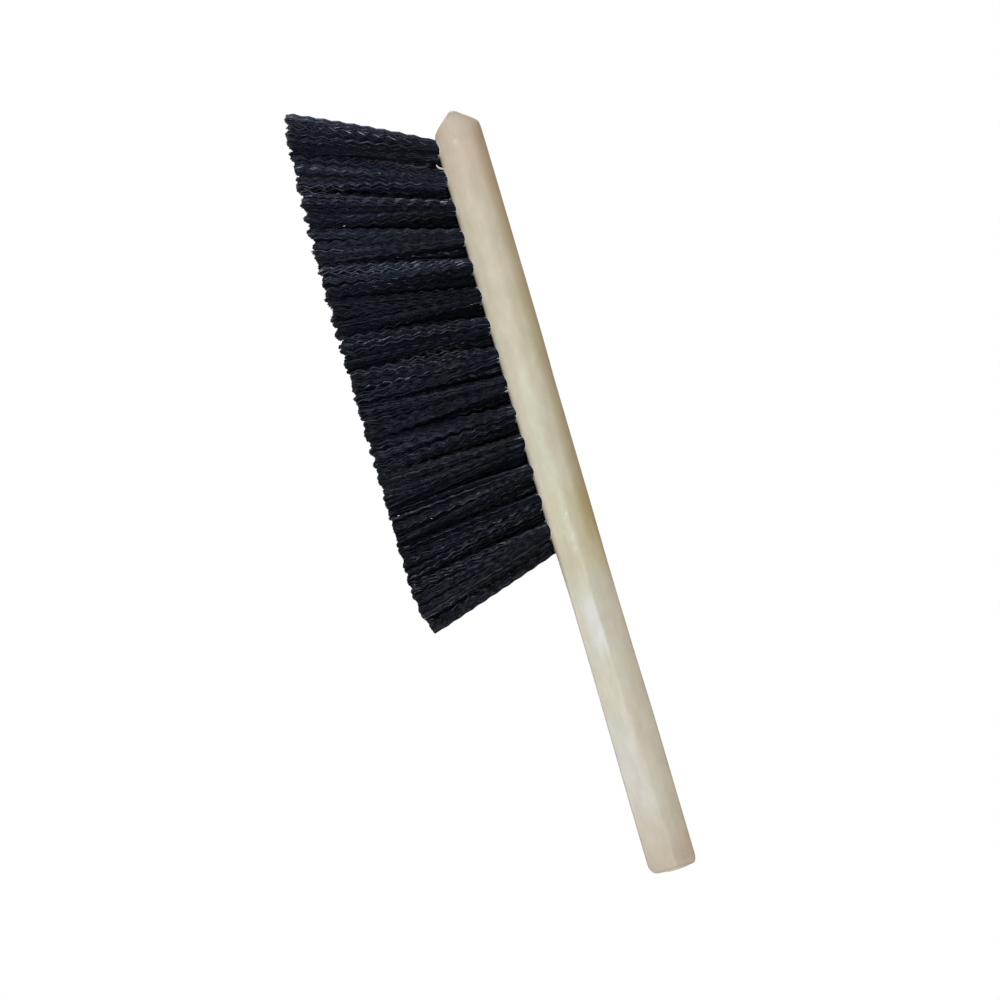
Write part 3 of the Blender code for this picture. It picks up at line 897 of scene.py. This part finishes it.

# Zones that make the wood lighter or darker, the second of them painted shade on the side at the waist:
# where each starts, is full, fades and ends along the bar, and where it starts and is full below the
# back, in millimetres, and its tint
TONE_AND_SHADE_ZONES = (
    ((100, 126, 186, 200), (10.5, 12.5), (1.08, 1.1, 1.11)),
    ((188, 195, 206, 214), (10.5, 12.5), (0.955, 0.935, 0.905)),
    ((68, 82, 104, 122), (9.5, 7.5), (0.955, 0.96, 0.925)),
    ((238, 250, 268, 280), (10.5, 12.5), (0.97, 0.955, 0.93)))


def varnished_wood(settings):
    """Pale, close-grained wood under a thin varnish, browner at the nose and butt, with painted shade
    at the back and a painted sheen.
    """
    material, shader, place = new_material("varnished_wood_finish")
    axes = add_node(place, "SeparateXYZ", {"Vector": place}).outputs

    def along(start, end, low=0, high=1):
        return between(axes["X"], NOSE_X + start * MM, NOSE_X + end * MM, low, high)

    def below_back(start, end):
        return between(axes["Z"], BACK_Z - start * MM, BACK_Z - end * MM)

    def spread(start, full, fading, end, most=1):
        return times(along(start, full), along(end, fading, 0, most))

    streaks = noise(place, 9, 3, (1, 12, 12))
    blotches = noise(place, 30, 2, (0.6, 1.8, 1.8))
    grain = noise(place, 60, 4, (1, 16, 16))
    flecks = noise(place, 210, 1, (1, 12, 12))
    specks = noise(place, 230, 2, (0.7, 1.4, 1.4))
    mottle = noise(place, 55, 2, (1, 3, 3))
    wear = attribute(place, "wear")
    # Pale raw wood round the bores, and the painted highlight on the dents
    raw = times(attribute(place, "raw"), between(grain, 0.3, 0.6, 0.6, 1))
    # Painted sheen: whiter patches on the near side where the varnish would mirror the light, one at
    # the waist and a faint broad one on the grip
    painted_sheen = times(spread(214, 222, 233, 246, 0.92), below_back(18.5, 14.5))
    painted_sheen = times(maths("ADD", painted_sheen, spread(256, 285, 306, 322, 0.38)), below_back(10, 11.2),
                 between(axes["Y"], 0.5 * HALF_WIDTH, -0.5 * HALF_WIDTH),
                 between(mottle, 0.25, 0.6, 0.72, 1))
    # Browner where the attribute is high: worn varnish at the nose and butt, and painted shade on the
    # bevel and the back's edge
    browned = times(between(wear, 0, 1), between(blotches, 0.25, 0.6, 0.85, 1))
    stain = times(spread(160, 180, 190, 218), below_back(11, 3),
                  between(blotches, 0.3, 0.6, 0.35, 0.85))
    straw = times(spread(160, 178, 202, 214, 0.25), below_back(21, 16))
    shade = times(between(grain, 0.34, 0.62, 0.985, 1.01), between(flecks, 0.24, 0.33, 0.96, 1),
                  between(mottle, 0.35, 0.65, 0.975, 1.045))
    colour = settings.wood
    for share, *tint in (
            (between(streaks, 0.42, 0.64), settings.streak),
            (along(185, 235, 0, 0.8), GRIP_WOOD),
            (between(blotches, 0.46, 0.68, 0, 0.4), WARM_WOOD),
            (along(75, 2, 0, 0.9), NOSE_WOOD),
            (painted_sheen, PAINTED_SHEEN),
            # The second zone is painted shade; the others only make the wood lighter or darker
            *((times(spread(*zone), below_back(*depths)), zone_tint, "MULTIPLY")
              for zone, depths, zone_tint in TONE_AND_SHADE_ZONES),
            (along(303, 336, 0, 0.9), BUTT_WOOD),
            (along(7, 1, 0, 0.8), NOSE_TIP_WOOD),
            (browned, WORN_AND_SHADED_TINT, "MULTIPLY"),
            (stain, STAIN_TINT, "MULTIPLY"),
            (straw, STRAW_TINT, "MULTIPLY"),
            (between(specks, 0.36, 0.62), SPECK_TINT, "MULTIPLY"),
            (1, shade, "MULTIPLY"), (raw, RAW_WOOD_AND_HIGHLIGHT)):
        colour = blend(share, colour, *tint)
    matt = maths("MAXIMUM", raw, between(wear, 0.04, 0.3), along(262, 286, 0, 0.85))
    gloss = between(blotches, 0.35, 0.65, 0.45, 0.58)
    feed(shader, {
        "Base Color": colour, "Roughness": maths("ADD", gloss, times(matt, 0.3)),
        "Specular IOR Level": 0.16, "Coat Roughness": 0.15,
        "Coat Weight": between(matt, 0, 1, 0.08, 0.01),
        "Normal": bump(grain, 0.05, 0.15 * MM),
        "Coat Normal": bump(blotches, 0.12, MM)})
    return material


def raw_fibre():
    """Dry, pale wood fibre without varnish."""
    material, shader, place = new_material("raw_fibre_finish")
    grain = noise(place, 900, 2, (1, 1, 0.3))
    colour = blend(between(grain, 0.3, 0.7), (0.72, 0.69, 0.61), (0.6, 0.55, 0.45))
    feed(shader, {"Base Color": colour, "Specular IOR Level": 0.3,
                  "Roughness": between(grain, 0.3, 0.7, 0.62, 0.78)})
    return material


def black_bristle(settings):
    """Blue-black plastic, each bristle with its own tint, a little browner at its tip, with painted
    light and shade along the tufts.
    """
    material, shader, place = new_material("black_bristle_finish")
    tint, reach = attribute(place, "tint"), attribute(place, "reach")
    from_nose = add_node(place, "SeparateXYZ", {"Vector": place}).outputs["X"]
    uneven = noise(place, 240, 2)
    glossy = noise(place, 430, 1)
    faded = between(tint, 0, 0.12, 0.7, 0)
    colour = blend(faded, settings.colour, settings.faded)
    browned = times(between(reach, 0.86, 1), between(uneven, 0.4, 0.7, 0.1, 0.9))
    colour = blend(browned, colour, settings.faded)
    root = blend(1, colour, (1.05, 1.03, 0.96), "MULTIPLY")
    colour = blend(between(reach, 0.1, 0.85), root, colour)
    # Each bristle's own tint, times painted light and shade: darker near the roots and towards the grip
    # end, lighter towards the tips and the nose end
    depth = times(between(tint, 0, 0.7, 0.65, 1),
                  between(tint, 0.9, 0.98, 1, 2.6),
                  between(reach, 0.3, 0.85, 1, 1.45),
                  between(from_nose, NOSE_X, NOSE_X + 120 * MM, 1.4, 1),
                  between(from_nose, NOSE_X + 110 * MM, NOSE_X + 205 * MM, 1, 0.75))
    shine = times(between(glossy, 0.38, 0.64, 0.05, 0.3), between(reach, 0, 0.4, 0.45, 1))
    feed(shader, {
        "Base Color": blend(1, colour, depth, "MULTIPLY"),
        "Specular Tint": (0.84, 0.9, 1), "Specular IOR Level": shine,
        "Roughness": between(uneven, 0.3, 0.7, 0.29, 0.4)})
    return material


def steel_wire():
    """Drawn steel wire with fine scratches along it."""
    material, shader, place = new_material("steel_wire_finish")
    scratches = noise(place, 500, 3, (0.2, 6, 6))
    colour = blend(between(scratches, 0.3, 0.7), (0.5, 0.51, 0.53), (0.62, 0.63, 0.65))
    feed(shader, {
        "Base Color": colour, "Metallic": 1,
        "Roughness": between(scratches, 0.3, 0.7, 0.25, 0.42),
        "Normal": bump(scratches, 0.2, 0.02 * MM)})
    return material


# Stage
PHOTO_LEAN = math.radians(16.36)
PHOTO_CENTRE = (4.84 * MM, 48.66 * MM)
CAMERA_HEIGHT = 0
SENSOR = 36
WHITE = (1, 1, 1)
FLOOR_RADII = (0.4, 1.2, 3, 9)
FLOOR_SIDES = 64

# Fill lights: azimuth, elevation, distance, size and level. The brush doesn't mirror them
FILLS = {"back_fill": (180, 15, 2.2, (1.2, 0.8), 0.4), "top_fill": (180, 62, 2.2, (1.2, 0.8), 0.22),
         "butt_fill": (96, 5, 2.2, (0.8, 0.8), 0.5)}


def shown_directly(near):
    """1 for rays that show the stage itself or mirror it, 0 for rays that light with it."""
    path = add_node(near, "LightPath").outputs
    return maths("MAXIMUM", *(path[f"Is {kind} Ray"] for kind in ("Camera", "Glossy", "Transmission")))


def pale_floor():
    """Near-white floor that shows as the backdrop does, and keeps what shades it."""
    material, shader, place = new_material("pale_floor_finish")
    end = shader.outputs[0].links[0].to_node
    shader.id_data.nodes.remove(shader)
    paper = noise(place, 60)
    colour = blend(between(paper, 0.3, 0.7), (0.86, 0.86, 0.86), (0.9, 0.9, 0.9))
    matte = add_node(place, "BsdfDiffuse", {"Color": colour}).outputs[0]
    away = add_node(place, "VectorMath", {0: place}, operation="LENGTH").outputs["Value"]
    level = between(away, 0.35, 0.9, 0.45, 1)
    glow = add_node(place, "Emission", {"Color": WHITE, "Strength": level}).outputs[0]
    dark = add_node(place, "Emission", {"Strength": 0}).outputs[0]
    lit = add_node(place, "MixShader", {0: shown_directly(place), 1: dark, 2: glow}).outputs[0]
    feed(end, {"Surface": add_node(place, "AddShader", {0: matte, 1: lit}).outputs[0]})
    return material


def make_world(level):
    """White where it is seen or mirrored, and a plain grey where it gives light."""
    world = bpy.data.worlds.new("studio")
    world.use_nodes = True
    tree = world.node_tree
    tree.nodes.clear()
    seen, lighting = (add_node(tree, "Background", {"Color": WHITE, "Strength": strength}).outputs[0]
                      for strength in (1, level))
    both = add_node(tree, "MixShader", {0: shown_directly(tree), 1: lighting, 2: seen}).outputs[0]
    add_node(tree, "OutputWorld", {"Surface": both})
    bpy.context.scene.world = world


def soft_light(name, azimuth, elevation, distance, size, level, mirrored=True):
    """Area light on the brush from a direction, at a brightness on white. 0 is the front."""
    target = Vector((0, 0, FACE_Z))
    turn, rise = math.radians(azimuth), math.radians(elevation)
    way = Vector((math.sin(turn) * math.cos(rise), -math.cos(turn) * math.cos(rise), math.sin(rise)))
    data = bpy.data.lights.new(name, "AREA")
    data.shape = "RECTANGLE"
    data.size, data.size_y = size
    data.energy = level * math.pi ** 2 * distance ** 2
    lamp = add_object(name, data)
    lamp.location = target + way * distance
    lamp.rotation_euler = way.to_track_quat("Z", "Y").to_euler()
    lamp.visible_glossy = mirrored


def make_camera(settings):
    """Long lens, nearly level with the floor, turned so that the nose leans as pictured."""
    target = Vector((PHOTO_CENTRE[0], -HALF_WIDTH, PHOTO_CENTRE[1]))
    place = Vector((target.x, target.y - settings.camera_distance, CAMERA_HEIGHT))
    back = (place - target).normalized()
    right = Vector((math.sin(PHOTO_LEAN), 0, math.cos(PHOTO_LEAN)))
    right = (right - back * right.dot(back)).normalized()
    axes = Matrix((right, back.cross(right), back)).transposed().to_4x4()
    data = bpy.data.cameras.new("camera")
    data.sensor_width = SENSOR
    data.lens = SENSOR * settings.camera_distance / settings.frame_width
    data.clip_start, data.clip_end = 0.05, 60
    camera = add_object("camera", data)
    camera.matrix_world = Matrix.Translation(place) @ axes
    bpy.context.scene.camera = camera


def make_floor():
    """A level disc: rings of growing radius, each point at an even turn."""
    turn = np.linspace(0, 2 * np.pi, FLOOR_SIDES, endpoint=False)
    ring = stack(np.cos(turn), np.sin(turn), 0 * turn)
    points = (np.array(FLOOR_RADII)[:, None, None] * ring).reshape(-1, 3)
    index = np.arange(len(points)).reshape(-1, FLOOR_SIDES)
    return mesh_object("floor", np.append(points, np.zeros((1, 3)), axis=0),
                       [walls(index)[:, ::-1], spokes(index.size, index[0])], pale_floor())


# Operators

class BRUSH_OT_bar(bpy.types.Operator):
    """Make the varnished wooden bar with its bores"""
    bl_idname = "brush.add_bar"
    bl_label = "Add Bar"

    def execute(self, context):
        settings = context.scene.brush_bar
        grid, raw, wear = bar_surface(settings)
        finish = {"raw": np.concatenate((raw.ravel(), (0, 0))),
                  "wear": np.concatenate((wear.ravel(), (NOSE_WEAR_AND_SHADE[0], END_WEAR)))}
        bar = mesh_object(
            "wooden_bar", *close_grid(grid), varnished_wood(settings), finish, BAR_SHARP)
        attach(bar, "root")
        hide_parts("wooden_handle")
        return {"FINISHED"}


class BRUSH_OT_bristles(bpy.types.Operator):
    """Make every tuft of crimped bristles"""
    bl_idname = "brush.add_bristles"
    bl_label = "Add Bristles"

    def execute(self, context):
        settings = context.scene.brush_bristles
        material = black_bristle(settings)
        for bore in BORES:
            tuft = make_tuft(bore, settings, material)
            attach(tuft, "root")
            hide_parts("tuft_" + bore.label)
        return {"FINISHED"}


class BRUSH_OT_fibres(bpy.types.Operator):
    """Make the torn fibres round the bores and the loose splinter"""
    bl_idname = "brush.add_fibres"
    bl_label = "Add Fibres"

    def execute(self, context):
        material = raw_fibre()
        fibres = fibre_lines(context.scene.brush_bar)
        for name, lines in (("rim_fibres", fibres), ("splinter", splinter_line())):
            piece = mesh_object(name, *tubes(*lines), material)
            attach(piece, "root")
        return {"FINISHED"}


class BRUSH_OT_anchors(bpy.types.Operator):
    """Give the wire anchors their steel finish"""
    bl_idname = "brush.dress_anchors"
    bl_label = "Dress Anchors"

    def execute(self, context):
        material = steel_wire()
        for bore in BORES:
            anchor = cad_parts["anchor_" + bore.label]
            anchor.data.materials.clear()
            anchor.data.materials.append(material)
        return {"FINISHED"}


class BRUSH_OT_stage(bpy.types.Operator):
    """Make the floor, the surroundings, the lights and the camera"""
    bl_idname = "brush.add_stage"
    bl_label = "Add Stage"

    def execute(self, context):
        settings = context.scene.brush_stage
        make_floor()
        make_world(settings.fill_level)
        soft_light("key", -70, 6, 4, (0.8, 0.6), settings.key_level)
        soft_light("front", 6.5, 4, 7, (0.5, 0.5), 0.25 * settings.key_level)
        for name, fill in FILLS.items():
            soft_light(name, *fill, mirrored=False)
        make_camera(settings)
        context.scene.view_settings.view_transform = "Standard"
        return {"FINISHED"}


class BRUSH_PT_panel(bpy.types.Panel):
    """Lists the steps that build the brush's looks"""
    bl_label = "Blind Brush"
    bl_idname = "BRUSH_PT_panel"
    bl_space_type = "VIEW_3D"
    bl_region_type = "UI"
    bl_category = "Brush"

    def draw(self, context):
        for name in SETTINGS:
            settings = getattr(context.scene, name)
            box = self.layout.box()
            for key in settings.__annotations__:
                box.prop(settings, key)
        for step in STEPS:
            self.layout.operator(step.bl_idname)


SETTINGS = dict(brush_bar=BarSettings, brush_bristles=BristleSettings, brush_stage=StageSettings)
STEPS = (BRUSH_OT_bar, BRUSH_OT_bristles, BRUSH_OT_fibres, BRUSH_OT_anchors, BRUSH_OT_stage)
CLASSES = (*SETTINGS.values(), *STEPS, BRUSH_PT_panel)


def register():
    for item in CLASSES:
        bpy.utils.register_class(item)
    for name, settings in SETTINGS.items():
        setattr(bpy.types.Scene, name, bpy.props.PointerProperty(type=settings))


def unregister():
    for name in SETTINGS:
        delattr(bpy.types.Scene, name)
    for item in reversed(CLASSES):
        bpy.utils.unregister_class(item)


def main():
    register()
    bpy.ops.brush.add_bar()
    bpy.ops.brush.add_bristles()
    bpy.ops.brush.add_fibres()
    bpy.ops.brush.dress_anchors()
    bpy.ops.brush.add_stage()


if __name__ == "__main__":
    main()
